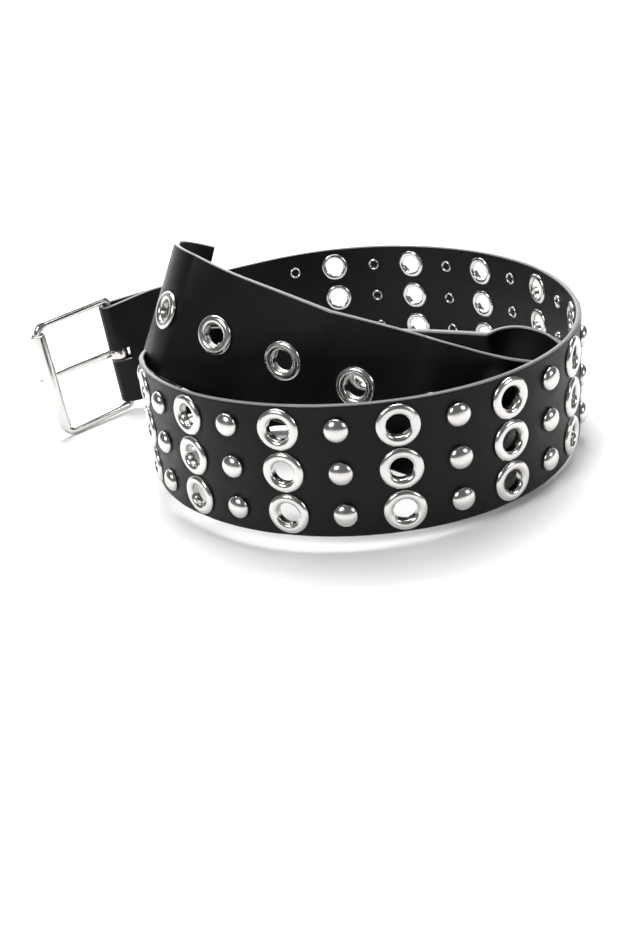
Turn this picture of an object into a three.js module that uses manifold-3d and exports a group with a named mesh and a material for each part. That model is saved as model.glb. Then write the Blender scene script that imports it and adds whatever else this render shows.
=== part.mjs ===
// A leather belt with three rows of eyelets and dome studs, lying coiled on its lower edge.
// Millimetres, +Z up, the middle of the front facing -Y. Every piece is placed from the named sizes below.
import * as THREE from 'three';
import Module from 'manifold-3d';

const wasm = await Module();
wasm.setup();

// Leather
const STRAP_LENGTH = 960; // square tip to the fold round the heel bar
const STRAP_WIDTH = 50;
const LEATHER = 2.2;
const RETURN_LENGTH = 52; // the end that turns back behind the strap
const LAYER_GAP = 0.4; // between the strap and its return

// Studded field: columns of three, domes and eyelets by turns, counted from the buckle end
const FIELD_TO_FOLD = 97; // last column of domes to the fold
const FIELD_COLUMNS = 29;
const COLUMN_PITCH = 20.5;
const ROW_PITCH = 16;

// Plain tail with one row of eyelets
const TIP_TO_HOLE = 49;
const TAIL_HOLES = 5;
const TAIL_PITCH = 30;

// Eyelet and dome
const BORE = 8.3;
const FLANGE = 15.5;
const FLANGE_RISE = 1.2;
const FLANGE_CROWN = 1; // the flange's highest ring, out from the bore
const CLINCH = 13.2;
const CLINCH_RISE = 0.8;
const DOME = 9;
const DOME_RISE = 2.9;
const DOME_RIM = 0.2; // the dome's rim over the leather

// Buckle
const WIRE = 3.8;
const FRAME_LENGTH = 37; // heel bar to roller, centre to centre
const HEEL_CORNER = 2.6;
const FRAME_CORNER = 5;
const EDGE_CLEARANCE = 0.8; // strap's edge to the frame's side bar
const FRAME_TURN = 30; // degrees that the frame lies swung in its fold, to the inside of the coil
const ROLLER_WALL = 1;
const ROLLER_PLAY = 0.55; // roller's bore to the wire
const ROLLER_REACH = 1.5; // past the straight of the front bar, over each corner
const PRONG_WIDTH = 4;
const PRONG_THICKNESS = 2.4;
const PRONG_OVERHANG = 3.5; // past the middle of the roller
const SLOT_PLAY = 1; // prong to the slot's walls
const CLEARANCE = 0.3; // between pieces that touch on the real belt

// Rivet through the return
const CAP = 7;
const CAP_RISE = 1.2;
const POST = 3.2;
const CAP_TO_FOLD = 33;

// Shares of the sizes above, which round off the small profiles
const CLINCH_EDGE = 0.5;
const FLANGE_EDGE = 0.3;
const DOME_SHOULDER = 0.68;
const DOME_SHOULDER_RISE = 0.75;
const CAP_SHOULDER = 0.8;
const EYE_WALL = 0.8;
const EYE_FLAT = 0.95;
const PRONG_BEND = 0.55;
const PRONG_BEVEL = 0.4;

const ROUND_SIDES = 8;
const DOME_SIDES = 6;
const WIRE_SIDES = 8;
const ROLLER_SIDES = 16;
const HEEL_PARTS = 8; // in the half circle of the fold
const CORNER_PARTS = 4; // in each corner of the frame

// How the strap runs from its tip to the fold. at is a share of its length, heading the way that it runs as
// seen from above, and lean how far its upper edge tips out of the coil, both in degrees.
const RUN = [
  { at: 0.00, heading: -520, lean: 0 },
  { at: 0.03, heading: -450, lean: -28 },
  { at: 0.06, heading: -415, lean: -28 },
  { at: 0.09, heading: -394, lean: -12 },
  { at: 0.13, heading: -393, lean: -3 },
  { at: 0.165, heading: -391, lean: -17 },
  { at: 0.18, heading: -372, lean: -11 },
  { at: 0.20, heading: -330, lean: 14 },
  { at: 0.22, heading: -306, lean: 32 },
  { at: 0.235, heading: -294, lean: 33 },
  { at: 0.245, heading: -270, lean: 16 },
  { at: 0.265, heading: -204, lean: -28 },
  { at: 0.30, heading: -201, lean: -20 },
  { at: 0.37, heading: -203, lean: -10 },
  { at: 0.39, heading: -184, lean: 5 },
  { at: 0.41, heading: -143, lean: 5 },
  { at: 0.44, heading: -82, lean: -4 },
  { at: 0.48, heading: -59, lean: -5 },
  { at: 0.53, heading: -30, lean: -4 },
  { at: 0.58, heading: 0, lean: -1 },
  { at: 0.66, heading: 55, lean: 3 },
  { at: 0.70, heading: 79, lean: 2 },
  { at: 0.77, heading: 114, lean: -1 },
  { at: 0.84, heading: 145, lean: -1 },
  { at: 0.88, heading: 172, lean: 3 },
  { at: 0.92, heading: 206, lean: 6 },
  { at: 0.95, heading: 208, lean: 14 },
  { at: 0.975, heading: 200, lean: 12 },
  { at: 1.00, heading: 185, lean: -5 },
];

// Where the run is laid from, both ways, and how steeply it climbs there
const FRONT_AT = 0.58;
const FRONT_CLIMB = -2;

const RAD = Math.PI / 180;
const STEPS = 600;
const TURN_STEP = 15; // degrees between two sections of the strap at most
const LONG_STEP = 30;
const SEAT_MARGIN = 0.8;
const HALF = LEATHER / 2;
const HEEL_REACH = WIRE / 2 + CLEARANCE + HALF; // heel bar's centre to the middle of the leather

const smooth = (x) => x * x * (3 - 2 * x);
const clamp01 = (x) => Math.min(1, Math.max(0, x));

function valueAt(share, column) {
  const next = RUN.findIndex((row) => row.at >= share);
  if (next <= 0) return RUN[next === 0 ? 0 : RUN.length - 1][column];
  const a = RUN[next - 1];
  const b = RUN[next];
  return THREE.MathUtils.lerp(a[column], b[column], (share - a.at) / (b.at - a.at));
}

// Leather bends about its own width and twists, but not edgewise: so the climb follows from heading and lean.
function layStrap() {
  const ds = STRAP_LENGTH / STEPS;
  const first = Math.round(FRONT_AT * STEPS);
  const headingAt = (i) => valueAt(i / STEPS, 'heading');
  const leanAt = (i) => valueAt(i / STEPS, 'lean') * RAD;
  const turnOf = (i, climb) => new THREE.Quaternion().setFromEuler(
    new THREE.Euler(leanAt(i), -climb * RAD, headingAt(i) * RAD, 'ZYX'));
  const runOf = (turn) => new THREE.Vector3(1, 0, 0).applyQuaternion(turn);
  const turns = [];
  const points = [];
  turns[first] = turnOf(first, FRONT_CLIMB);
  points[first] = new THREE.Vector3();
  for (const way of [1, -1]) {
    let climb = FRONT_CLIMB;
    for (let i = first; i + way >= 0 && i + way <= STEPS; i += way) {
      const turned = headingAt(i + way) - headingAt(i);
      climb += turned * Math.cos(climb * RAD) * Math.tan(leanAt(i + way / 2));
      turns[i + way] = turnOf(i + way, climb);
      const run = runOf(turns[i]).add(runOf(turns[i + way])).multiplyScalar(0.5 * ds * way);
      points[i + way] = points[i].clone().add(run);
    }
  }
  return { turns, points };
}

const { turns, points } = layStrap();

function stepAt(distance) {
  const place = clamp01(distance / STRAP_LENGTH) * STEPS;
  const i = Math.min(STEPS - 1, Math.floor(place));
  return { i, part: place - i };
}

function turnAt(distance) {
  const { i, part } = stepAt(distance);
  return turns[i].clone().slerp(turns[i + 1], part);
}

// run points to the buckle, inward to the inside of the coil, across to the strap's upper edge.
function frameAt(distance) {
  const { i, part } = stepAt(distance);
  const turn = turnAt(distance);
  return {
    middle: points[i].clone().lerp(points[i + 1], part),
    run: new THREE.Vector3(1, 0, 0).applyQuaternion(turn),
    inward: new THREE.Vector3(0, 1, 0).applyQuaternion(turn),
    across: new THREE.Vector3(0, 0, 1).applyQuaternion(turn),
  };
}

// The flat seat between two sections, which are half apart from its middle.
function seatAt(distance, half) {
  const a = frameAt(distance - half);
  const b = frameAt(distance + half);
  const run = b.middle.clone().sub(a.middle).normalize();
  const across = a.across.clone().add(b.across);
  across.addScaledVector(run, -across.dot(run)).normalize();
  return {
    middle: a.middle.clone().lerp(b.middle, 0.5),
    run,
    inward: across.clone().cross(run),
    across,
  };
}

const moved = (point, ...steps) =>
  steps.reduce((sum, [way, size]) => sum.addScaledVector(way, size), point.clone());

function solid(positions, triangles) {
  const mesh = new wasm.Mesh({
    numProp: 3,
    vertProperties: Float32Array.from(positions),
    triVerts: Uint32Array.from(triangles),
  });
  return new wasm.Manifold(mesh);
}

// Closed solid from rings of points; the rings run on with a right-hand turn about the way they advance.
// Opposite faces are cut along the same diagonal, so a wall that twists keeps its thickness.
function loft(rings, closed = false) {
  const sides = rings[0].length;
  const positions = rings.flat().flatMap((p) => [p.x, p.y, p.z]);
  const triangles = [];
  const count = closed ? rings.length : rings.length - 1;
  for (let i = 0; i < count; i += 1) {
    const a = i * sides;
    const b = ((i + 1) % rings.length) * sides;
    for (let j = 0; j < sides; j += 1) {
      const k = (j + 1) % sides;
      if (2 * j < sides) triangles.push(a + j, a + k, b + k, a + j, b + k, b + j);
      else triangles.push(a + j, a + k, b + j, a + k, b + k, b + j);
    }
  }
  if (!closed) {
    const last = (rings.length - 1) * sides;
    for (let j = 1; j < sides - 1; j += 1) {
      triangles.push(0, j + 1, j);
      triangles.push(last, last + j, last + j + 1);
    }
  }
  return solid(positions, triangles);
}

// Closed solid turned about an axis: profile holds { r, h } with h along the axis, bottom to top outside.
function turned(profile, sides, origin, axis, side) {
  const other = axis.clone().cross(side);
  const positions = [];
  const starts = [];
  for (const { r, h } of profile) {
    starts.push(positions.length / 3);
    for (let j = 0; j < (r > 0 ? sides : 1); j += 1) {
      const angle = ((j + 0.5) / sides) * 2 * Math.PI;
      const p = moved(origin, [axis, h], [side, r * Math.cos(angle)], [other, r * Math.sin(angle)]);
      positions.push(p.x, p.y, p.z);
    }
  }
  const triangles = [];
  const pole = (i) => profile[i].r === 0;
  const onAxis = pole(0) && pole(profile.length - 1);
  const bands = onAxis ? profile.length - 1 : profile.length;
  for (let i = 0; i < bands; i += 1) {
    const next = (i + 1) % profile.length;
    for (let j = 0; j < sides; j += 1) {
      const k = (j + 1) % sides;
      const a = starts[i] + (pole(i) ? 0 : j);
      const b = starts[i] + (pole(i) ? 0 : k);
      const c = starts[next] + (pole(next) ? 0 : k);
      const d = starts[next] + (pole(next) ? 0 : j);
      if (a !== b) triangles.push(a, b, c);
      if (c !== d) triangles.push(a, c, d);
    }
  }
  return solid(positions, triangles);
}

const rod = (radius, low, high, sides, origin, axis, side) =>
  turned([{ r: 0, h: low }, { r: radius, h: low }, { r: radius, h: high }, { r: 0, h: high }],
    sides, origin, axis, side);

function block(low, high, origin, x, y, z) {
  const corner = (a, b, c) => moved(origin, [x, a], [y, b], [z, c]);
  const ring = (a) => [
    corner(a, low[1], low[2]),
    corner(a, high[1], low[2]),
    corner(a, high[1], high[2]),
    corner(a, low[1], high[2]),
  ];
  return loft([ring(low[0]), ring(high[0])]);
}

// Middle of the return, measured inward from the middle of the strap
function returnOffset(back) {
  const close = smooth(clamp01(back / (CAP_TO_FOLD - CAP)));
  return THREE.MathUtils.lerp(2 * HEEL_REACH, LEATHER + LAYER_GAP, close);
}

const columnPlaces = Array.from({ length: FIELD_COLUMNS }, (_, column) => ({
  at: STRAP_LENGTH - FIELD_TO_FOLD - column * COLUMN_PITCH,
  eyelet: column % 2 === 1,
}));
const holePlaces = Array.from({ length: TAIL_HOLES }, (_, hole) => TIP_TO_HOLE + hole * TAIL_PITCH);

const rivetPlace = STRAP_LENGTH - CAP_TO_FOLD;
const seatHalf = (width) => width / 2 + SEAT_MARGIN;

// The strap's sections: the two of each flat seat, under a column, a hole or the rivet, and those in between,
// as close as the strap turns.
function sectionFrames() {
  const seats = columnPlaces.map(({ at, eyelet }) => [at, seatHalf(eyelet ? FLANGE : DOME)]);
  for (const at of holePlaces) seats.push([at, seatHalf(FLANGE)]);
  seats.push([rivetPlace, seatHalf(CAP)]);
  seats.sort((one, other) => one[0] - other[0]);
  const frames = [frameAt(0)];
  let from = 0;
  const fill = (to, last) => {
    const angle = turnAt(from).angleTo(turnAt(to)) / RAD;
    const parts = Math.max(1, Math.ceil(Math.max(angle / TURN_STEP, (to - from) / LONG_STEP)));
    for (let k = 1; k < parts; k += 1) frames.push(frameAt(from + ((to - from) * k) / parts));
    frames.push(last);
    from = to;
  };
  for (const [at, half] of seats) {
    const seat = seatAt(at, half);
    fill(at - half, { ...seat, middle: frameAt(at - half).middle });
    fill(at + half, { ...seat, middle: frameAt(at + half).middle });
  }
  fill(STRAP_LENGTH, frameAt(STRAP_LENGTH));
  return frames;
}

function strapRings() {
  const rings = [];
  const add = (middle, out, across) => {
    const h = STRAP_WIDTH / 2;
    rings.push([
      moved(middle, [out, HALF], [across, -h]),
      moved(middle, [out, -HALF], [across, -h]),
      moved(middle, [out, -HALF], [across, h]),
      moved(middle, [out, HALF], [across, h]),
    ]);
  };
  for (const f of sectionFrames()) add(f.middle, f.inward.clone().negate(), f.across);
  const end = frameAt(STRAP_LENGTH);
  const heel = moved(end.middle, [end.inward, HEEL_REACH]);
  for (let k = 1; k < HEEL_PARTS; k += 1) {
    const angle = (k / HEEL_PARTS - 0.5) * Math.PI;
    const out = moved(new THREE.Vector3(), [end.run, Math.cos(angle)], [end.inward, Math.sin(angle)]);
    add(moved(heel, [out, HEEL_REACH]), out, end.across);
  }
  const seat = seatHalf(CAP);
  const backs = [0, 0.2, 0.4, 0.6, 0.8, 1].map((share) => share * (CAP_TO_FOLD - seat));
  for (const back of [...backs, CAP_TO_FOLD + seat, RETURN_LENGTH]) {
    const f = frameAt(STRAP_LENGTH - back);
    add(moved(f.middle, [f.inward, returnOffset(back)]), f.inward, f.across);
  }
  return rings;
}

const rivetSeat = () => seatAt(rivetPlace, seatHalf(CAP));

const eyeletProfile = [
  { r: BORE / 2, h: -HALF - CLINCH_RISE },
  { r: CLINCH / 2, h: -HALF - CLINCH_RISE * CLINCH_EDGE },
  { r: FLANGE / 2, h: HALF + FLANGE_RISE * FLANGE_EDGE },
  { r: BORE / 2 + FLANGE_CROWN, h: HALF + FLANGE_RISE },
];

const domeProfile = [
  { r: 0, h: -HALF - CLINCH_RISE },
  { r: DOME / 2, h: HALF + DOME_RIM },
  { r: (DOME / 2) * DOME_SHOULDER, h: HALF + DOME_RISE * DOME_SHOULDER_RISE },
  { r: 0, h: HALF + DOME_RISE },
];

function strapSolid() {
  const holes = [];
  const metal = [];
  const eyelet = (f, height) => {
    const origin = moved(f.middle, [f.across, height]);
    const out = f.inward.clone().negate();
    const reach = LEATHER * 2;
    holes.push(rod((BORE + CLINCH) / 4, -reach, reach, ROUND_SIDES, origin, out, f.run));
    metal.push(turned(eyeletProfile, ROUND_SIDES, origin, out, f.run));
  };
  for (const place of columnPlaces) {
    const f = seatAt(place.at, seatHalf(place.eyelet ? FLANGE : DOME));
    for (const row of [-1, 0, 1]) {
      const origin = moved(f.middle, [f.across, row * ROW_PITCH]);
      if (place.eyelet) eyelet(f, row * ROW_PITCH);
      else metal.push(turned(domeProfile, DOME_SIDES, origin, f.inward.clone().negate(), f.run));
    }
  }
  for (const at of holePlaces) eyelet(seatAt(at, seatHalf(FLANGE)), 0);
  const end = frameAt(STRAP_LENGTH);
  const heel = moved(end.middle, [end.inward, HEEL_REACH]);
  const slotBack = -(prongEye() + SLOT_PLAY);
  const slotSide = PRONG_WIDTH / 2 + SLOT_PLAY;
  const reach = HEEL_REACH + LEATHER;
  holes.push(block([slotBack, -reach, -slotSide], [reach, reach, slotSide],
    heel, end.run, end.inward, end.across));
  const f = rivetSeat();
  holes.push(rod(POST / 2 + CLEARANCE, -LEATHER, returnOffset(CAP_TO_FOLD) + LEATHER, ROUND_SIDES,
    f.middle, f.inward, f.run));
  let strap = loft(strapRings());
  for (const hole of holes) strap = strap.subtract(hole);
  for (const piece of metal) strap = strap.add(piece);
  return strap;
}

function capRivet() {
  const f = rivetSeat();
  const low = -HALF - CLEARANCE;
  const high = returnOffset(CAP_TO_FOLD) + HALF + CLEARANCE;
  const profile = [
    { r: 0, h: low - CAP_RISE },
    { r: (CAP / 2) * CAP_SHOULDER, h: low - CAP_RISE * CAP_SHOULDER },
    { r: CAP / 2, h: low },
    { r: POST / 2, h: low },
    { r: POST / 2, h: high },
    { r: CAP / 2, h: high },
    { r: (CAP / 2) * CAP_SHOULDER, h: high + CAP_RISE * CAP_SHOULDER },
    { r: 0, h: high + CAP_RISE },
  ];
  return turned(profile, ROUND_SIDES, f.middle, f.inward, f.run);
}

// The buckle's own axes: reach from the heel bar to the roller, face to the side the prong lies on.
function buckleAxes() {
  const f = frameAt(STRAP_LENGTH);
  const swing = new THREE.Quaternion().setFromAxisAngle(f.across, FRAME_TURN * RAD);
  return {
    heel: moved(f.middle, [f.inward, HEEL_REACH]),
    reach: f.run.clone().applyQuaternion(swing),
    face: f.inward.clone().negate().applyQuaternion(swing),
    across: f.across,
  };
}

const barHalf = () => STRAP_WIDTH / 2 + EDGE_CLEARANCE + WIRE / 2;
const rollerRadius = () => WIRE / 2 + ROLLER_PLAY + ROLLER_WALL;
const prongEye = () => WIRE / 2 + CLEARANCE + PRONG_THICKNESS * EYE_WALL;

function frameSolid() {
  const { heel, reach, face, across } = buckleAxes();
  const corners = [
    { x: 0, z: -1, turn: 180, radius: HEEL_CORNER },
    { x: 1, z: -1, turn: 270, radius: FRAME_CORNER },
    { x: 1, z: 1, turn: 0, radius: FRAME_CORNER },
    { x: 0, z: 1, turn: 90, radius: HEEL_CORNER },
  ];
  const rings = [];
  for (const { x, z, turn, radius } of corners) {
    const centreX = x * FRAME_LENGTH + (x ? -radius : radius);
    const centreZ = z * (barHalf() - radius);
    for (let k = 0; k <= CORNER_PARTS; k += 1) {
      const angle = (turn + (k * 90) / CORNER_PARTS) * RAD;
      const out = moved(new THREE.Vector3(), [reach, Math.cos(angle)], [across, Math.sin(angle)]);
      const middle = moved(heel, [reach, centreX], [across, centreZ], [out, radius]);
      rings.push(Array.from({ length: WIRE_SIDES }, (_, j) => {
        const spin = -((j + 0.5) / WIRE_SIDES) * 2 * Math.PI;
        return moved(middle, [out, (WIRE / 2) * Math.cos(spin)], [face, (WIRE / 2) * Math.sin(spin)]);
      }));
    }
  }
  return loft(rings, true);
}

function rollerSolid() {
  const { heel, reach, face, across } = buckleAxes();
  const half = barHalf() - FRAME_CORNER + ROLLER_REACH;
  const bore = WIRE / 2 + ROLLER_PLAY;
  const profile = [
    { r: bore, h: -half },
    { r: rollerRadius(), h: -half },
    { r: rollerRadius(), h: half },
    { r: bore, h: half },
  ];
  return turned(profile, ROLLER_SIDES, moved(heel, [reach, FRAME_LENGTH]), across, face);
}

function prongSolid() {
  const { heel, reach, face, across } = buckleAxes();
  const low = rollerRadius() + CLEARANCE;
  const top = low + PRONG_THICKNESS;
  const bend = FRAME_LENGTH * PRONG_BEND;
  const end = FRAME_LENGTH + PRONG_OVERHANG;
  const eye = prongEye();
  const half = PRONG_WIDTH / 2;
  const outline = [
    [0, WIRE / 2], [bend, low], [end, low], [end, top - PRONG_THICKNESS * PRONG_BEVEL],
    [end - PRONG_THICKNESS, top], [bend, top], [0, eye * EYE_FLAT],
  ];
  const ring = (z) => outline.map(([x, y]) => moved(heel, [reach, x], [face, y], [across, z]));
  const tongue = loft([ring(half), ring(-half)]);
  const disc = rod(eye, -half, half, ROLLER_SIDES, heel, across, face);
  const bore = rod(WIRE / 2 + CLEARANCE, -PRONG_WIDTH, PRONG_WIDTH, ROLLER_SIDES, heel, across, face);
  return disc.add(tongue).subtract(bore);
}

const leather = { color: '#0c0c0d', roughness: 0.42, metalness: 0 };
const nickel = { color: '#c8cace', roughness: 0.18, metalness: 1 };

const pieces = [
  { name: 'strap', shape: strapSolid(), look: leather },
  { name: 'cap_rivet', shape: capRivet(), look: nickel },
  { name: 'buckle_frame', shape: frameSolid(), look: nickel },
  { name: 'roller', shape: rollerSolid(), look: nickel },
  { name: 'prong', shape: prongSolid(), look: nickel },
];

function meshOf({ name, shape, look }) {
  const data = shape.getMesh();
  const positions = [];
  for (let i = 0; i < data.vertProperties.length; i += data.numProp) {
    positions.push(...data.vertProperties.slice(i, i + 3));
  }
  const geometry = new THREE.BufferGeometry();
  geometry.setAttribute('position', new THREE.Float32BufferAttribute(positions, 3));
  geometry.setIndex(Array.from(data.triVerts));
  const mesh = new THREE.Mesh(geometry, new THREE.MeshStandardMaterial(look));
  mesh.name = name;
  return mesh;
}

// The origin lies under the middle of the coil, on the surface that it stands on.
const group = new THREE.Group();
for (const piece of pieces) group.add(meshOf(piece));
const box = new THREE.Box3().setFromObject(group);
const middle = box.getCenter(new THREE.Vector3());
for (const mesh of group.children) mesh.geometry.translate(-middle.x, -middle.y, -box.min.z);

export default group;
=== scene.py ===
"""Looks of a studded leather belt that lies coiled on its lower edge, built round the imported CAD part."""

import logging
import math
from dataclasses import dataclass, field
from enum import Enum

import bpy
import numpy as np
from mathutils import Matrix, Vector


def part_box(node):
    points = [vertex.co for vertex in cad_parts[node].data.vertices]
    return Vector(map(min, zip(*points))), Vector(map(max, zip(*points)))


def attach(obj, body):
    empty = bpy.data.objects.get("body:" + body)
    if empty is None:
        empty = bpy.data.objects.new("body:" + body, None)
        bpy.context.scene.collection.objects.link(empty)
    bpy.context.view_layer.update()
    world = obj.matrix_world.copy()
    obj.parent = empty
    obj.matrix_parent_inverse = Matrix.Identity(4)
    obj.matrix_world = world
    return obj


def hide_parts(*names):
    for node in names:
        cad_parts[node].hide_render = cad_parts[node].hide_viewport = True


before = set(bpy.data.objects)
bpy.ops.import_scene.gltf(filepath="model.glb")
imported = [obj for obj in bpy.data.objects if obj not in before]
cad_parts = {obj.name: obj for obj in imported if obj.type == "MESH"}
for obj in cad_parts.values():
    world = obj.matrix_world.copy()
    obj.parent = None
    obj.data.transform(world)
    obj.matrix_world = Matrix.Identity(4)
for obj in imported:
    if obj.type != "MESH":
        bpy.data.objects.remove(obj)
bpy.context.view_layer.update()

log = logging.getLogger("belt")
MM = 0.001

# How the strap runs from its tip to the fold: share of its length, heading and lean in degrees
RUN = (
    (0.00, -520, 0),
    (0.03, -450, -28),
    (0.06, -415, -28),
    (0.09, -394, -12),
    (0.13, -393, -3),
    (0.165, -391, -17),
    (0.18, -372, -11),
    (0.20, -330, 14),
    (0.22, -306, 32),
    (0.235, -294, 33),
    (0.245, -270, 16),
    (0.265, -204, -28),
    (0.30, -201, -20),
    (0.37, -203, -10),
    (0.39, -184, 5),
    (0.41, -143, 5),
    (0.44, -82, -4),
    (0.48, -59, -5),
    (0.53, -30, -4),
    (0.58, 0, -1),
    (0.66, 55, 3),
    (0.70, 79, 2),
    (0.77, 114, -1),
    (0.84, 145, -1),
    (0.88, 172, 3),
    (0.92, 206, 6),
    (0.95, 208, 14),
    (0.975, 200, 12),
    (1.00, 185, -5),
)


class Slot(Enum):
    """The record's material slots."""

    LEATHER = "leather"
    NICKEL = "nickel"


class Body(Enum):
    """The CAD bodies that pieces ride on."""

    STRAP = "strap_body"
    FRAME = "frame_body"
    PRONG = "prong_body"
    ROLLER = "roller_body"


def linear(hex_colour: str) -> tuple[float, float, float, float]:
    """Turns an sRGB hex colour into linear red, green, blue and alpha.

    Args:
        hex_colour: six hex digits after a hash sign.

    Returns:
        The linear colour with alpha 1.
    """
    parts = [int(hex_colour[i : i + 2], 16) / 255 for i in (1, 3, 5)]
    parts = [c / 12.92 if c <= 0.04045 else ((c + 0.055) / 1.055) ** 2.4 for c in parts]
    return (*parts, 1.0)


def add_node(tree: bpy.types.NodeTree, kind: str, settings: dict, links: dict) -> bpy.types.Node:
    """Adds one node with its settings and links.

    Args:
        tree: the material's node tree.
        kind: Blender's name of the node type.
        settings: attribute names or input sockets' names, with their values.
        links: input sockets' names, with the output socket that feeds each.

    Returns:
        The new node.
    """
    node = tree.nodes.new(kind)
    for name, value in settings.items():
        if name in node.inputs:
            node.inputs[name].default_value = value
        else:
            setattr(node, name, value)
    for name, source in links.items():
        tree.links.new(source, node.inputs[name])
    return node


def blank_material(name: str) -> tuple[bpy.types.Material, bpy.types.NodeTree, bpy.types.Node]:
    """Makes an empty node material.

    Args:
        name: the real material's name.

    Returns:
        The material, its tree and its output node.
    """
    material = bpy.data.materials.new(name)
    material.use_nodes = True
    tree = material.node_tree
    tree.nodes.clear()
    return material, tree, tree.nodes.new("ShaderNodeOutputMaterial")


@dataclass(frozen=True)
class CoatedLeather:
    """Full-grain cowhide dyed black and pressed with a thin acrylic coat: a soft sheen over fine pores."""

    colour: str = "#060607"
    grain_mm: float = 1.1
    crease_mm: float = 9.0
    roughness: float = 0.42
    grain_depth_mm: float = 0.05

    def make(self) -> bpy.types.Material:
        """Makes the material, its grain and its faint handling creases sized in millimetres."""
        material, tree, output = blank_material("coated_black_leather")
        place = add_node(tree, "ShaderNodeTexCoord", {}, {}).outputs["Object"]
        grain = add_node(
            tree,
            "ShaderNodeTexVoronoi",
            {"Scale": 1 / (self.grain_mm * MM), "feature": "SMOOTH_F1", "Smoothness": 0.6},
            {"Vector": place},
        )
        crease = add_node(
            tree,
            "ShaderNodeTexNoise",
            {"Scale": 1 / (self.crease_mm * MM), "Detail": 6.0, "Roughness": 0.6},
            {"Vector": place},
        )
        rough = add_node(
            tree,
            "ShaderNodeMapRange",
            {"To Min": self.roughness - 0.07, "To Max": self.roughness + 0.09},
            {"Value": crease.outputs["Fac"]},
        )
        bump = add_node(
            tree,
            "ShaderNodeBump",
            {"Strength": 0.35, "Distance": self.grain_depth_mm * MM},
            {"Height": grain.outputs["Distance"]},
        )
        shader = add_node(
            tree,
            "ShaderNodeBsdfPrincipled",
            {"Base Color": linear(self.colour), "IOR": 1.45, "Specular IOR Level": 0.22},
            {"Roughness": rough.outputs["Result"], "Normal": bump.outputs["Normal"]},
        )
        tree.links.new(shader.outputs["BSDF"], output.inputs["Surface"])
        return material


@dataclass(frozen=True)
class LeatherEdgeWithPaintedGleam:
    """Cut edge of the same hide, inked and rubbed, fibrous and a little shiny: greyer than the face, its grey
    partly the edge's own dull tone and partly a painted highlight for the gleam along the strap's edges.
    """

    # painted highlight: this grey is lighter than the inked edge's own dark tone, standing in for the gleam
    # along the edges
    colour: str = "#6a6866"
    fibre_mm: float = 0.5
    roughness: float = 0.3

    def make(self) -> bpy.types.Material:
        """Makes the material with a fine fibre bump."""
        material, tree, output = blank_material("leather_edge_with_painted_gleam")
        place = add_node(tree, "ShaderNodeTexCoord", {}, {}).outputs["Object"]
        fibre = add_node(
            tree,
            "ShaderNodeTexNoise",
            {"Scale": 1 / (self.fibre_mm * MM), "Detail": 3.0},
            {"Vector": place},
        )
        bump = add_node(
            tree,
            "ShaderNodeBump",
            {"Strength": 0.4, "Distance": 0.05 * MM},
            {"Height": fibre.outputs["Fac"]},
        )
        shader = add_node(
            tree,
            "ShaderNodeBsdfPrincipled",
            {"Base Color": linear(self.colour), "Roughness": self.roughness},
            {"Normal": bump.outputs["Normal"]},
        )
        tree.links.new(shader.outputs["BSDF"], output.inputs["Surface"])
        return material


@dataclass(frozen=True)
class NickelPlate:
    """Bright nickel on pressed steel: a near mirror, softened by handling marks a few millimetres long."""

    colour: str = "#d0cecb"
    mark_mm: float = 2.5
    roughness: float = 0.14

    def make(self) -> bpy.types.Material:
        """Makes the material with its handling marks in the roughness."""
        material, tree, output = blank_material("nickel_plated_steel")
        place = add_node(tree, "ShaderNodeTexCoord", {}, {}).outputs["Object"]
        marks = add_node(
            tree,
            "ShaderNodeTexNoise",
            {"Scale": 1 / (self.mark_mm * MM), "Detail": 5.0, "Roughness": 0.65},
            {"Vector": place},
        )
        rough = add_node(
            tree,
            "ShaderNodeMapRange",
            {"From Min": 0.3, "From Max": 0.75, "To Min": self.roughness, "To Max": self.roughness + 0.14},
            {"Value": marks.outputs["Fac"]},
        )
        shader = add_node(
            tree,
            "ShaderNodeBsdfPrincipled",
            {"Base Color": linear(self.colour), "Metallic": 1.0},
            {"Roughness": rough.outputs["Result"]},
        )
        tree.links.new(shader.outputs["BSDF"], output.inputs["Surface"])
        return material


@dataclass(frozen=True)
class PaintedSweep:
    """Matt white painted board, as a photographer's sweep: no gloss, so only a soft shadow shows."""

    colour: str = "#fbfbfb"

    def make(self) -> bpy.types.Material:
        """Makes the plain matt material."""
        material, tree, output = blank_material("matt_white_board")
        shader = add_node(
            tree,
            "ShaderNodeBsdfPrincipled",
            {"Base Color": linear(self.colour), "Roughness": 0.9, "Specular IOR Level": 0.1},
            {},
        )
        tree.links.new(shader.outputs["BSDF"], output.inputs["Surface"])
        return material


@dataclass
class Surface:
    """Points in millimetres with their faces, and a number for each face's material."""

    points: np.ndarray
    faces: np.ndarray
    finish: np.ndarray | None = None

    def piece(self, name: str, materials: list[bpy.types.Material], smooth_deg: float) -> bpy.types.Object:
        """Makes a Blender object of the surface, at the origin, with its place in its mesh.

        Args:
            name: the piece's plain name.
            materials: one material for each number in finish.
            smooth_deg: edges sharper than this stay sharp.

        Returns:
            The object.
        """
        mesh = bpy.data.meshes.new(name)
        mesh.from_pydata((self.points * MM).tolist(), [], self.faces.tolist())
        for material in materials:
            mesh.materials.append(material)
        if self.finish is not None:
            mesh.polygons.foreach_set("material_index", self.finish.astype(np.int32))
        mesh.validate()
        mesh.shade_smooth()
        mesh.set_sharp_from_angle(angle=math.radians(smooth_deg))
        mesh.update()
        made = bpy.data.objects.new(name, mesh)
        bpy.context.scene.collection.objects.link(made)
        return made


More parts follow.
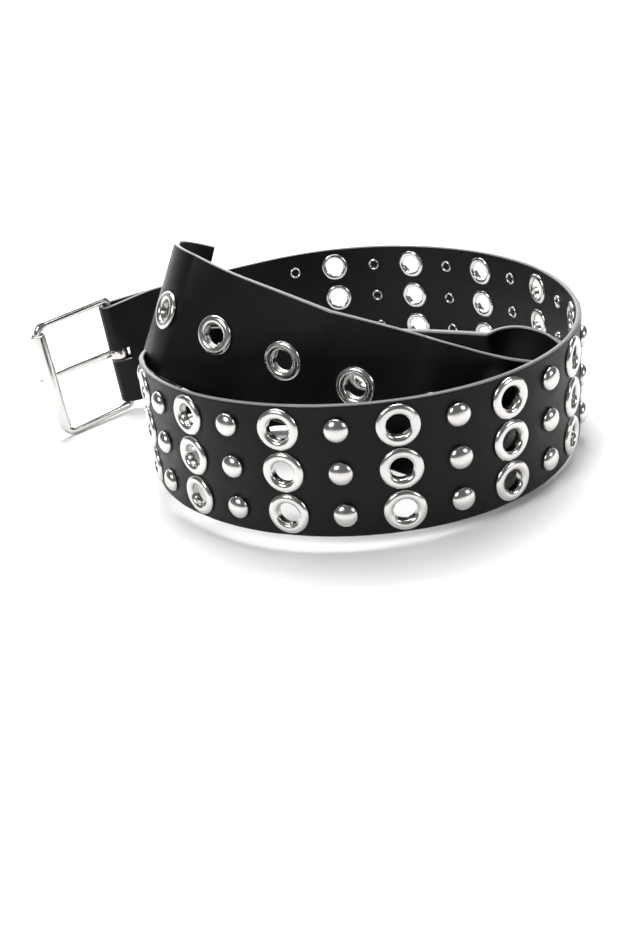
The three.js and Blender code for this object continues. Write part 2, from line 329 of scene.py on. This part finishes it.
def grid_faces(rows: int, columns: int, round_rows: bool = False, round_columns: bool = True) -> np.ndarray:
    """Quads of a grid of points that is stored row by row.

    Args:
        rows: number of rows of points.
        columns: number of points in a row.
        round_rows: whether the last row joins the first.
        round_columns: whether each row closes on itself.

    Returns:
        The quads' corners, four to a line.
    """
    i = np.arange(rows if round_rows else rows - 1)[:, None]
    j = np.arange(columns if round_columns else columns - 1)[None, :]
    i2, j2 = (i + 1) % rows, (j + 1) % columns
    corners = [i * columns + j, i * columns + j2, i2 * columns + j2, i2 * columns + j]
    return np.stack([np.broadcast_to(c, (i.size, j.size)) for c in corners], axis=-1).reshape(-1, 4)


def turned(profile: np.ndarray, sides: int, petals: np.ndarray | None = None) -> Surface:
    """A profile of radius and height turned about the height axis, x and y across it.

    The profile runs round a closed outline or from axis to axis, with the solid on its left.

    Args:
        profile: lines of radius and height.
        sides: number of points round the axis.
        petals: optional share, for each profile point, by which the radius swells in six petals.

    Returns:
        The closed surface.
    """
    angle = np.linspace(0, 2 * np.pi, sides, endpoint=False)[None, :]
    swell = 0 if petals is None else petals[:, None] * np.cos(6 * angle)
    radius = profile[:, :1] * (1 + swell)
    height = np.broadcast_to(profile[:, 1:], (len(profile), sides))
    points = np.stack([radius * np.cos(angle), radius * np.sin(angle), height], axis=-1).reshape(-1, 3)
    closed = profile[0, 0] > 0 or profile[-1, 0] > 0
    return Surface(points, grid_faces(len(profile), sides, round_rows=closed))


def copies(base: Surface, seats: "Seats") -> Surface:
    """Copies of one surface on several seats: x goes along the run, y across the strap, height outward.

    Args:
        base: the surface to repeat.
        seats: where each copy stands.

    Returns:
        All the copies as one surface.
    """
    axes = np.stack([seats.run, seats.across, seats.out], axis=1)
    points = seats.middle[:, None, :] + np.einsum("pk,nkc->npc", base.points, axes)
    shift = (np.arange(len(seats.middle)) * len(base.points))[:, None, None]
    return Surface(points.reshape(-1, 3), (base.faces[None] + shift).reshape(-1, base.faces.shape[1]))


def arc(
    centre: tuple[float, float],
    radii: tuple[float, float],
    start: float,
    end: float,
    count: int,
) -> np.ndarray:
    """Points on an ellipse's arc: centre plus the radii times cosine and sine of the angle.

    Args:
        centre: the arc's centre, radius and height.
        radii: the half sizes along radius and height.
        start: first angle in degrees.
        end: last angle in degrees.
        count: number of points.

    Returns:
        Lines of radius and height.
    """
    angle = np.radians(np.linspace(start, end, count))
    return np.stack([centre[0] + radii[0] * np.cos(angle), centre[1] + radii[1] * np.sin(angle)], axis=-1)


def unit(vectors: np.ndarray) -> np.ndarray:
    """Vectors divided by their length."""
    return vectors / np.linalg.norm(vectors, axis=-1, keepdims=True)


@dataclass
class Seats:
    """Places on the strap: middle of the leather with the run, the way across and the way outward."""

    middle: np.ndarray
    run: np.ndarray
    across: np.ndarray
    out: np.ndarray

    def joined(self, *others: "Seats") -> "Seats":
        """These seats and others in one."""
        every = (self, *others)
        names = ("middle", "run", "across", "out")
        return Seats(*(np.concatenate([getattr(s, name) for s in every]) for name in names))


@dataclass
class StrapRun:
    """The line that the strap follows, laid both ways from the middle of the front.

    Heading and lean come from RUN. Leather doesn't bend edgewise, so the climb's rate is the heading's rate
    times the cosine of the climb and the tangent of the lean, which the Gudermann function solves.
    """

    length: float = 960.0
    front_at: float = 0.58
    front_climb: float = -2.0
    steps: int = 2400
    shift: np.ndarray = field(default_factory=lambda: np.zeros(3))

    def __post_init__(self) -> None:
        """Lays the line once."""
        share = np.linspace(0, 1, self.steps + 1)
        rows = np.array(RUN)
        heading = np.radians(np.interp(share, rows[:, 0], rows[:, 1]))
        lean = np.radians(np.interp(share, rows[:, 0], rows[:, 2]))
        first = round(self.front_at * self.steps)
        turned_by = np.diff(heading) * np.tan((lean[1:] + lean[:-1]) / 2)
        total = np.concatenate([[0], np.cumsum(turned_by)])
        total = total - total[first] + np.arcsinh(np.tan(np.radians(self.front_climb)))
        climb = np.arctan(np.sinh(total))
        sin_c, cos_c, sin_l, cos_l = np.sin(climb), np.cos(climb), np.sin(lean), np.cos(lean)
        self.run_way = self.headed(heading, cos_c, np.zeros_like(cos_c), sin_c)
        self.inward_way = self.headed(heading, -sin_c * sin_l, cos_l, cos_c * sin_l)
        self.across_way = self.headed(heading, -sin_c * cos_l, -sin_l, cos_c * cos_l)
        step = (self.run_way[1:] + self.run_way[:-1]) / 2 * self.length / self.steps
        line = np.concatenate([np.zeros((1, 3)), np.cumsum(step, axis=0)])
        self.line = line - line[first]

    @staticmethod
    def headed(heading: np.ndarray, x: np.ndarray, y: np.ndarray, z: np.ndarray) -> np.ndarray:
        """Vectors given along, to the left of and above a heading, turned to it about the vertical."""
        sin_h, cos_h = np.sin(heading), np.cos(heading)
        return np.stack([x * cos_h - y * sin_h, x * sin_h + y * cos_h, z], axis=-1)

    @staticmethod
    def between(table: np.ndarray, low: np.ndarray, part: np.ndarray) -> np.ndarray:
        """Lines of a table, each read at a share of the way from one line to the next."""
        return table[low] * (1 - part) + table[low + 1] * part

    def seats(self, distance: np.ndarray | float) -> Seats:
        """The seats at distances from the tip, by linear reading between the steps.

        Args:
            distance: millimetres from the tip.

        Returns:
            One seat for each distance.
        """
        place = np.clip(np.atleast_1d(np.asarray(distance, float)) / self.length, 0, 1) * self.steps
        low = np.minimum(place.astype(int), self.steps - 1)
        part = (place - low)[:, None]
        middle = self.between(self.line, low, part) + self.shift
        ways = (self.run_way, self.across_way, self.inward_way)
        run, across, inward = (unit(self.between(way, low, part)) for way in ways)
        return Seats(middle, run, across, -inward)


@dataclass
class Strap:
    """The leather strap with its fold round the heel bar and the return behind it."""

    run: StrapRun
    width: float = 50.0
    leather: float = 2.2
    return_length: float = 52.0
    layer_gap: float = 0.4
    wire: float = 3.8
    clearance: float = 0.3
    cap: float = 7.0
    cap_to_fold: float = 33.0
    slot_back: float = 5.1
    slot_half: float = 3.0
    cell: float = 1.25
    edge_round: float = 0.9
    hole_radius: float = 5.6
    edge_share: float = 0.35
    edge_lines: tuple[float, ...] = (1.1, 0.75, 0.45, 0.2, 0.05, 0.0)
    edge_lines_from: float = 1.5
    slot_lines: int = 6
    heel_sections: int = 14
    dimple_depth: float = 0.22
    dimple_spread: float = 2.0
    dimple_inside: float = 0.5

    @property
    def heel_reach(self) -> float:
        """Heel bar's centre to the middle of the leather."""
        return self.wire / 2 + self.clearance + self.leather / 2

    def return_offset(self, back: np.ndarray) -> np.ndarray:
        """How far the return's middle lies inward of the strap's, at distances back from the fold."""
        close = np.clip(back / (self.cap_to_fold - self.cap), 0, 1)
        close = close * close * (3 - 2 * close)
        return 2 * self.heel_reach + (self.leather + self.layer_gap - 2 * self.heel_reach) * close

    def stations(self) -> tuple[Seats, np.ndarray]:
        """All the sections along the leather: strap, half circle round the heel bar, then the return.

        Returns:
            The seats, and each one's distance from the tip along the leather.
        """
        length = self.run.length
        main_at = np.linspace(0, length, round(length / self.cell) + 1)
        main = self.run.seats(main_at)
        end = self.run.seats(length)
        heel = end.middle - end.out * self.heel_reach
        angle = np.radians(np.linspace(90, -90, self.heel_sections)[1:-1])[:, None]
        out = end.run * np.cos(angle) + end.out * np.sin(angle)
        along = end.run * np.sin(angle) - end.out * np.cos(angle)
        across = np.broadcast_to(end.across, out.shape)
        fold = Seats(heel + out * self.heel_reach, along, across, out)
        back = np.linspace(0, self.return_length, round(self.return_length / self.cell) + 1)
        under = self.run.seats(length - back)
        middle = under.middle - under.out * self.return_offset(back)[:, None]
        returned = Seats(middle, -under.run, under.across, -under.out)
        fold_at = length + self.heel_reach * (np.pi / 2 - angle[:, 0])
        back_at = length + self.heel_reach * np.pi + back
        return main.joined(fold, returned), np.concatenate([main_at, fold_at, back_at])

    def lines_across(self) -> np.ndarray:
        """Places of the grid's lines across the strap, closer at its edges and on the slot's sides."""
        half = self.width / 2
        last = half - self.edge_lines_from
        inner = np.linspace(self.slot_half, last, round((last - self.slot_half) / self.cell) + 1)
        side = np.concatenate([inner, half - np.array(self.edge_lines)])
        middle = np.linspace(-self.slot_half, self.slot_half, self.slot_lines)[1:-1]
        return np.concatenate([-side[::-1], middle, side])

    def surface(self, holes: np.ndarray, fittings: np.ndarray) -> Surface:
        """The leather as one closed skin: two faces half the thickness out and in, and walls where it ends.

        A cell is left out where a hole or the prong's slot lies. The face sinks round each fitting by a
        bell curve of the distance to it, and rounds off to the edge by a quarter circle.

        Args:
            holes: lines of distance and height across of each eyelet.
            fittings: the same for every eyelet and stud, with the radius of its rim.

        Returns:
            The skin, with 1 as the finish of its walls and rounded rims and 0 elsewhere; the rims take the
            edge's grey, partly a painted highlight for the gleam along the strap's edges.
        """
        seats, at = self.stations()
        across = self.lines_across()
        half, thick = self.width / 2, self.leather / 2
        to_edge = np.clip((np.abs(across) - (half - self.edge_round)) / self.edge_round, 0, 1)
        rounded = np.sqrt(np.clip(1 - to_edge**2, 0, 1))
        swell = thick * (self.edge_share + (1 - self.edge_share) * rounded)
        gap = np.hypot(at[:, None, None] - fittings[:, 0], across[None, :, None] - fittings[:, 1])
        off = gap - fittings[:, 2]
        dimple = self.dimple_depth * np.exp(-((off / self.dimple_spread) ** 2)).max(axis=-1)
        flat = seats.middle[:, None, :] + seats.across[:, None, :] * across[None, :, None]
        lift = seats.out[:, None, :]
        outer = flat + lift * (swell[None, :] - dimple)[..., None]
        inner = flat - lift * (swell[None, :] - dimple * self.dimple_inside)[..., None]
        cell_at = (at[1:] + at[:-1]) / 2
        cell_across = (across[1:] + across[:-1]) / 2
        reach = np.hypot(cell_at[:, None, None] - holes[:, 0], cell_across[None, :, None] - holes[:, 1])
        kept = reach.min(axis=-1) > self.hole_radius
        fold_from = self.run.length - self.slot_back
        fold_to = self.run.length + self.heel_reach * np.pi + self.slot_back
        in_slot = (cell_at > fold_from) & (cell_at < fold_to)
        kept &= ~(in_slot[:, None] & (np.abs(cell_across) < self.slot_half)[None, :])
        rows, columns = len(at), len(across)
        top = grid_faces(rows, columns, round_columns=False)[kept.ravel()]
        low = top[:, ::-1] + rows * columns
        walls = self.walls(kept, rows * columns)
        faces = np.concatenate([top, low, walls])
        # the rounded rims of the face take the edge material too: a painted highlight for the gleam along the
        # edges
        rim = np.broadcast_to(np.abs(cell_across) > half - self.edge_round / 2, kept.shape)[kept]
        finish = np.concatenate([rim, rim, np.ones(len(walls))])
        points = np.concatenate([outer.reshape(-1, 3), inner.reshape(-1, 3)])
        used, place = np.unique(faces, return_inverse=True)
        return Surface(points[used], place.reshape(faces.shape), finish)

    def walls(self, kept: np.ndarray, under: int) -> np.ndarray:
        """Quads from the outer face to the inner one along every side where a kept cell meets none.

        Args:
            kept: which cells of the grid are kept.
            under: what is added to a point's number to reach the inner face.

        Returns:
            The walls' corners, four to a line.
        """
        columns = kept.shape[1] + 1
        full = np.pad(kept, 1)
        i, j = np.nonzero(kept)
        first = i * columns + j
        corner = np.stack([first, first + 1, first + columns + 1, first + columns])
        beside = [full[i, j + 1], full[i + 1, j + 2], full[i + 2, j + 1], full[i + 1, j]]
        found = []
        for side, other in enumerate(beside):
            a = corner[side][~other]
            b = corner[(side + 1) % 4][~other]
            found.append(np.stack([b, a, a + under, b + under], axis=-1))
        return np.concatenate(found)


@dataclass
class Fittings:
    """The eyelets in the studded field and the tail, and the dome studs between them."""

    strap: Strap
    field_to_fold: float = 97.0
    field_columns: int = 29
    column_pitch: float = 20.5
    row_pitch: float = 16.0
    tip_to_hole: float = 49.0
    tail_holes: int = 5
    tail_pitch: float = 30.0
    bore: float = 8.3
    flange: float = 15.5
    flange_rise: float = 1.2
    clinch: float = 13.2
    clinch_rise: float = 0.8
    dome: float = 9.0
    dome_rise: float = 2.9
    rivet_end: float = 5.6
    flange_tuck: float = 0.1
    clinch_tuck: float = 0.05
    overturn_deg: float = 6.0
    hidden_inset: float = 0.5
    hidden_depth: float = 0.4
    rim_depth: float = 0.3
    petal_depth: float = 0.012
    dome_collar: float = 0.25
    dome_overturn_deg: float = 8.0
    collar_inset: float = 0.35
    collar_depth: float = 0.2
    rivet_bore_share: float = 0.6
    rivet_floor_share: float = 0.9
    flange_points: int = 13
    clinch_points: int = 11
    rivet_points: int = 7
    dome_points: int = 12
    eyelet_sides: int = 40
    stud_sides: int = 28

    def field_places(self, eyelets: bool) -> np.ndarray:
        """Distance and height across of the field's eyelets, or of its studs."""
        column = np.arange(self.field_columns)
        column = column[(column % 2 == 1) == eyelets]
        at = self.strap.run.length - self.field_to_fold - column * self.column_pitch
        rows = np.array([-1, 0, 1]) * self.row_pitch
        return np.stack(np.broadcast_arrays(at[:, None], rows[None, :]), axis=-1).reshape(-1, 2)

    def tail_places(self) -> np.ndarray:
        """Distance and height across of the tail's eyelets."""
        at = self.tip_to_hole + np.arange(self.tail_holes) * self.tail_pitch
        return np.stack([at, np.zeros_like(at)], axis=-1)

    def seats(self, places: np.ndarray) -> Seats:
        """Seats on the strap at the given distances and heights across."""
        found = self.strap.run.seats(places[:, 0])
        return Seats(found.middle + found.across * places[:, 1:], found.run, found.across, found.out)

    def eyelet(self) -> Surface:
        """An eyelet: a half-round flange outside, a straight barrel, and a rolled, split clinch inside."""
        face = self.strap.leather / 2
        bore, rim, roll = self.bore / 2, self.flange / 2, self.clinch / 2
        crown = (bore + rim) / 2
        back = (bore + roll) / 2
        profile = np.concatenate(
            [
                arc(
                    (crown, face - self.flange_tuck),
                    (rim - crown, self.flange_rise + self.flange_tuck),
                    -self.overturn_deg,
                    180,
                    self.flange_points,
                ),
                [(bore, 0.0)],
                arc(
                    (back, self.clinch_tuck - face),
                    (roll - back, self.clinch_rise + self.clinch_tuck),
                    180,
                    360 + self.overturn_deg,
                    self.clinch_points,
                ),
                [
                    (roll - self.hidden_inset, self.hidden_depth - face),
                    (roll - self.hidden_inset, face - self.hidden_depth),
                    (rim - self.hidden_depth, face - self.rim_depth),
                ],
            ]
        )
        # the petals show on the outer half of the clinch alone
        petals = np.zeros(len(profile))
        clinch_end = self.flange_points + 1 + self.clinch_points
        petals[clinch_end - (self.clinch_points + 3) // 2 : clinch_end] = self.petal_depth
        return turned(profile, self.eyelet_sides, petals)

    def stud(self) -> Surface:
        """A dome stud: a tall round cap on a short collar, and a hollow rivet end inside."""
        face = self.strap.leather / 2
        cap, end = self.dome / 2, self.rivet_end / 2
        tube = end * self.rivet_bore_share
        floor = self.flange_tuck - face
        wall = (end - tube) / 2
        under_cap = face - self.collar_depth
        profile = np.concatenate(
            [
                [(0.0, floor), (tube * self.rivet_floor_share, floor)],
                arc((tube + wall, -face), (wall, self.clinch_rise), 180, 360, self.rivet_points),
                [(end, under_cap), (cap - self.collar_inset, under_cap)],
                arc(
                    (0.0, face + self.dome_collar),
                    (cap, self.dome_rise - self.dome_collar),
                    -self.dome_overturn_deg,
                    90,
                    self.dome_points,
                ),
            ]
        )
        profile[-1, 0] = 0.0
        return turned(profile, self.stud_sides)

    def fittings(self) -> np.ndarray:
        """Distance, height and rim radius of every eyelet and stud."""
        groups = (
            (self.field_places(True), self.flange / 2),
            (self.tail_places(), self.flange / 2),
            (self.field_places(False), self.dome / 2),
        )
        return np.concatenate([np.column_stack([p, np.full(len(p), radius)]) for p, radius in groups])


@dataclass
class Buckle:
    """The square wire frame, the roller on its front bar and the prong on its heel bar."""

    strap: Strap
    length: float = 37.0
    heel_corner: float = 2.6
    frame_corner: float = 5.0
    edge_clearance: float = 0.8
    roller_wall: float = 1.0
    roller_play: float = 0.55
    roller_reach: float = 1.5
    prong_width: float = 4.0
    prong_thickness: float = 2.4
    prong_overhang: float = 3.5
    frame_turn_deg: float = 30.0
    eye_share: float = 0.4
    eye_from_deg: float = -235.0
    eye_to_deg: float = 62.0
    rise_rate: float = 1.6
    arm_taper: float = 0.3
    tip_shares: tuple[float, ...] = (0.98, 0.9, 0.7, 0.3)
    eye_end_share: float = 0.4
    eye_thickness: float = 0.8
    tip_thinning: float = 0.25
    blunt_end: float = 1.2
    corner_points: int = 12
    lip_points: int = 7
    eye_points: int = 30
    arm_points: int = 26
    wire_sides: int = 24
    roller_sides: int = 40
    prong_sides: int = 20

    @property
    def bar_half(self) -> float:
        """Middle of the buckle to the middle of a side bar."""
        return self.strap.width / 2 + self.edge_clearance + self.strap.wire / 2

    @property
    def roller_radius(self) -> float:
        """Outer radius of the roller."""
        return self.strap.wire / 2 + self.roller_play + self.roller_wall

    def axes(self) -> Seats:
        """The heel bar's middle with the way to the roller, across, and the face that the prong lies on."""
        end = self.strap.run.seats(self.strap.run.length)
        turn = math.radians(self.frame_turn_deg)
        reach = end.run * math.cos(turn) - end.out * math.sin(turn)
        face = end.out * math.cos(turn) + end.run * math.sin(turn)
        return Seats(end.middle - end.out * self.strap.heel_reach, reach, end.across, face)

    def placed(self, local: np.ndarray) -> np.ndarray:
        """Points given as reach, across and face from the heel bar, put in the part's own frame."""
        axes = self.axes()
        return axes.middle + local @ np.concatenate([axes.run, axes.across, axes.out])

    def wire_frame(self) -> Surface:
        """A closed wire: a circle carried round a rectangle whose corners are quarter circles."""
        corners = ((0, -1, 180, self.heel_corner), (1, -1, 270, self.frame_corner))
        corners += ((1, 1, 0, self.frame_corner), (0, 1, 90, self.heel_corner))
        middles, ways = [], []
        for x, z, start, radius in corners:
            angle = np.radians(np.linspace(start, start + 90, self.corner_points))
            centre = np.array([x * self.length + (-radius if x else radius), z * (self.bar_half - radius)])
            way = np.stack([np.cos(angle), np.sin(angle)], axis=-1)
            middles.append(centre + radius * way)
            ways.append(way)
        middle, way = np.concatenate(middles), np.concatenate(ways)
        spin = np.linspace(0, 2 * np.pi, self.wire_sides, endpoint=False)
        radius = self.strap.wire / 2
        flat = middle[:, None, :] + way[:, None, :] * (radius * np.cos(spin))[None, :, None]
        face = np.broadcast_to((radius * np.sin(spin))[None, :, None], (*flat.shape[:2], 1))
        points = np.concatenate([flat, face], axis=-1).reshape(-1, 3)
        faces = grid_faces(len(middle), self.wire_sides, round_rows=True)[:, ::-1]
        return Surface(self.placed(points), faces)

    def roller(self) -> Surface:
        """A tube with its lips turned in a little, from a closed profile turned about the front bar."""
        half = self.bar_half - self.frame_corner + self.roller_reach
        bore, skin = self.strap.wire / 2 + self.roller_play, self.roller_radius
        lip = (skin - bore) / 2
        profile = np.concatenate(
            [
                arc((bore + lip, half - lip), (lip, lip), 0, 180, self.lip_points),
                arc((bore + lip, lip - half), (lip, lip), 180, 360, self.lip_points),
            ]
        )
        tube = turned(profile, self.roller_sides)
        local = np.stack([tube.points[:, 0] + self.length, tube.points[:, 2], -tube.points[:, 1]], axis=-1)
        return Surface(self.placed(local), tube.faces)

    def prong(self) -> Surface:
        """A flat bar with rounded sides, bent once round the heel bar and laid on the roller.

        Its middle line is most of a circle round the bar and then a curve out to the roller. The section is
        an ellipse to the fourth power, which narrows towards the tip.
        """
        thick = self.prong_thickness
        eye = self.strap.wire / 2 + self.strap.clearance + thick * self.eye_share
        angle = np.radians(np.linspace(self.eye_from_deg - self.eye_to_deg, 0, self.eye_points))
        ring = np.stack([eye * np.sin(angle), eye * np.cos(angle)], axis=-1)
        top = self.roller_radius + self.strap.clearance + thick / 2
        share = np.linspace(0, 1, self.arm_points)[1:]
        end = self.length + self.prong_overhang
        smooth = share * share * (3 - 2 * share)
        rise = eye + (top - eye) * np.clip(smooth * self.rise_rate, 0, 1)
        arm = np.stack([share * end, rise], axis=-1)
        line = np.concatenate([ring, arm])
        way = unit(np.gradient(line, axis=0))
        normal = np.stack([-way[:, 1], way[:, 0]], axis=-1)
        taper = np.concatenate([np.ones(len(ring)), 1 - self.arm_taper * share**2])
        taper[-len(self.tip_shares) :] *= self.tip_shares
        taper[0] = self.eye_end_share
        thin_eye = np.full(len(ring), self.eye_thickness)
        thin_arm = self.eye_thickness + (1 - self.eye_thickness) * smooth - self.tip_thinning * share**4
        thin = np.concatenate([thin_eye, thin_arm]) * np.minimum(1, taper * self.blunt_end)
        spin = np.linspace(0, 2 * np.pi, self.prong_sides, endpoint=False)
        wave = np.stack([np.cos(spin), np.sin(spin)])
        wave = np.sign(wave) * np.sqrt(np.abs(wave))
        side = self.prong_width / 2 * taper[:, None] * wave[0]
        lift = thick / 2 * thin[:, None] * wave[1]
        flat = line[:, None, :] + normal[:, None, :] * lift[..., None]
        points = np.stack([flat[..., 0], side, flat[..., 1]], axis=-1)
        return self.capped(points)

    def capped(self, points: np.ndarray) -> Surface:
        """A tube of rings closed at both ends by a fan to each end ring's middle.

        Args:
            points: rings of points as reach, across and face.

        Returns:
            The closed surface, in triangles.
        """
        rows, columns = points.shape[:2]
        quads = grid_faces(rows, columns)
        ends = points[[0, -1]].mean(axis=1)
        flat = np.concatenate([points.reshape(-1, 3), ends])
        j = np.arange(columns)
        first = np.stack([np.full(columns, rows * columns), (j + 1) % columns, j], axis=-1)
        base = (rows - 1) * columns
        last = np.stack([np.full(columns, rows * columns + 1), base + j, base + (j + 1) % columns], axis=-1)
        halves = np.concatenate([quads[:, [0, 1, 2]], quads[:, [0, 2, 3]]])
        return Surface(self.placed(flat), np.concatenate([halves, first, last]))

    def rivet(self, rise: float = 1.2, post: float = 3.2, points: int = 9, sides: int = 32) -> Surface:
        """Two round caps on one post, turned about the way through both layers of the strap.

        Args:
            rise: how far a cap stands over its seat.
            post: the post's diameter.
            points: points on each cap's arc.
            sides: points round the axis.

        Returns:
            The rivet on its seat.
        """
        strap = self.strap
        seat = strap.run.seats(strap.run.length - strap.cap_to_fold)
        low = -strap.leather / 2 - strap.clearance
        high = float(strap.return_offset(np.array(strap.cap_to_fold))) - low
        profile = np.concatenate(
            [
                arc((0.0, low), (strap.cap / 2, rise), -90, 0, points),
                [(post / 2, low), (post / 2, high)],
                arc((0.0, high), (strap.cap / 2, rise), 0, 90, points),
            ]
        )
        profile[[0, -1], 0] = 0.0
        through = Seats(seat.middle, seat.run, -seat.across, -seat.out)
        return copies(turned(profile, sides), through)


@dataclass
class Studio:
    """A white sweep, soft boxes and the camera at the photograph's angle.

    The camera's height and the front's middle are in millimetres from the floor's point under the camera,
    and shift takes that middle to its place in the part's frame. The sweep's sizes are in metres.
    """

    shift: np.ndarray
    height: float = 188.8
    pitch_deg: float = 27.0
    roll_deg: float = -9.8
    focal_px: float = 1026.7
    photo_height_px: float = 931.0
    front: tuple[float, float, float] = (31.6, 307.2, 25.8)
    floor_from: float = -3.0
    floor_to: float = 1.6
    bend_radius: float = 0.9
    bend_points: int = 20
    wall_height: float = 2.5
    half_width: float = 5.0

    def camera(self) -> None:
        """Stands the camera where its rays meet the strap as they do in the photograph."""
        pitch, roll = math.radians(self.pitch_deg), math.radians(self.roll_deg)
        side = np.array([1.0, 0.0, 0.0])
        ahead = np.array([0.0, math.cos(pitch), -math.sin(pitch)])
        up = np.cross(side, ahead)
        right = math.cos(roll) * side + math.sin(roll) * up
        top = math.cos(roll) * up - math.sin(roll) * side
        eye = (np.array([0.0, 0.0, self.height]) - np.array(self.front) + self.shift) * MM
        data = bpy.data.cameras.new("camera")
        data.lens = data.sensor_width * self.focal_px / self.photo_height_px
        data.clip_start = 0.01
        data.dof.use_dof = False
        made = bpy.data.objects.new("camera", data)
        turn = np.eye(4)
        turn[:3, 0], turn[:3, 1], turn[:3, 2], turn[:3, 3] = right, top, -ahead, eye
        made.matrix_world = Matrix(turn.tolist())
        bpy.context.scene.collection.objects.link(made)
        bpy.context.scene.camera = made

    def sweep(self) -> bpy.types.Object:
        """The floor, curving up by a quarter circle into a wall behind, as one strip carried sideways."""
        turn = np.radians(np.linspace(0, 90, self.bend_points))
        bend = self.bend_radius * np.stack([np.sin(turn), 1 - np.cos(turn)], axis=-1)
        bend[:, 0] += self.floor_to
        top = (self.floor_to + self.bend_radius, self.wall_height)
        line = np.concatenate([[(self.floor_from, 0.0)], bend, [top]])
        side = np.array([-self.half_width, self.half_width])
        points = np.stack(
            [
                np.broadcast_to(side[None, :], (len(line), 2)),
                np.broadcast_to(line[:, :1], (len(line), 2)),
                np.broadcast_to(line[:, 1:], (len(line), 2)),
            ],
            axis=-1,
        ).reshape(-1, 3)
        faces = grid_faces(len(line), 2, round_columns=False)
        floor = Surface(points / MM, faces).piece("sweep", [PaintedSweep().make()], 60)
        return floor

    def soft_box(
        self,
        name: str,
        place: tuple[float, float, float],
        size: float,
        power: float,
        aim: tuple[float, float, float] = (0.0, 0.0, 0.04),
    ) -> None:
        """Hangs a square soft box.

        Args:
            name: the lamp's plain name.
            place: where it hangs, in metres.
            size: its side in metres.
            power: its power in watts.
            aim: the point that it faces, in metres; the belt if none is given.
        """
        data = bpy.data.lights.new(name, "AREA")
        data.size = size
        data.energy = power
        made = bpy.data.objects.new(name, data)
        made.location = place
        made.rotation_mode = "QUATERNION"
        made.rotation_quaternion = (Vector(aim) - Vector(place)).to_track_quat("-Z", "Y")
        bpy.context.scene.collection.objects.link(made)

    def light(self) -> None:
        """A key from the upper left, a fill from the right, a top box, a wash on the sweep and a dim room."""
        self.soft_box("key", (-0.75, -0.75, 0.85), 0.45, 8)
        self.soft_box("fill", (0.9, -0.6, 0.5), 0.35, 3)
        self.soft_box("top", (0.15, 0.3, 1.2), 0.8, 9.5)
        self.soft_box("wash", (0.0, 0.9, 1.7), 1.6, 100, (0.0, 2.4, 0.4))
        world = bpy.data.worlds.new("room")
        world.use_nodes = True
        background = world.node_tree.nodes["Background"]
        background.inputs["Color"].default_value = linear("#ffffff")
        background.inputs["Strength"].default_value = 0.16
        bpy.context.scene.world = world
        bpy.context.scene.view_settings.view_transform = "Standard"


def set_down(name: str, made: bpy.types.Object, body: Body, node: str) -> None:
    """Ties a finished piece to its CAD body, hides the CAD node that it stands for, and reports it."""
    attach(made, body.value)
    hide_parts(node)
    log.info("%s: %d faces on %s", name, len(made.data.polygons), body.value)


def main() -> None:
    """Builds the belt's pieces in order, then the studio."""
    logging.basicConfig(level=logging.INFO, format="%(message)s")
    run = StrapRun()
    strap = Strap(run)
    buckle = Buckle(strap)
    low, high = (np.array(corner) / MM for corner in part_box("roller"))
    axes = buckle.axes()
    run.shift = (low + high) / 2 - (axes.middle[0] + axes.run[0] * buckle.length)
    fittings = Fittings(strap)
    leather, edge, nickel = CoatedLeather().make(), LeatherEdgeWithPaintedGleam().make(), NickelPlate().make()
    field_eyelets, studs = fittings.field_places(True), fittings.field_places(False)
    tail = fittings.tail_places()
    holes = np.concatenate([field_eyelets, tail])
    skin = strap.surface(holes, fittings.fittings())
    set_down("strap", skin.piece("leather_strap", [leather, edge], 50), Body.STRAP, "strap")
    metal = (
        ("field_eyelets", copies(fittings.eyelet(), fittings.seats(field_eyelets)), Body.STRAP, "strap"),
        ("tail_eyelets", copies(fittings.eyelet(), fittings.seats(tail)), Body.STRAP, "strap"),
        ("dome_studs", copies(fittings.stud(), fittings.seats(studs)), Body.STRAP, "strap"),
        ("flap_rivet", buckle.rivet(), Body.STRAP, "cap_rivet"),
        ("wire_frame", buckle.wire_frame(), Body.FRAME, "buckle_frame"),
        ("bar_roller", buckle.roller(), Body.ROLLER, "roller"),
        ("buckle_prong", buckle.prong(), Body.PRONG, "prong"),
    )
    for name, surface, body, node in metal:
        set_down(name, surface.piece(name, [nickel], 40), body, node)
    studio = Studio(run.shift)
    studio.sweep()
    studio.light()
    studio.camera()
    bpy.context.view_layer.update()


if __name__ == "__main__":
    main()
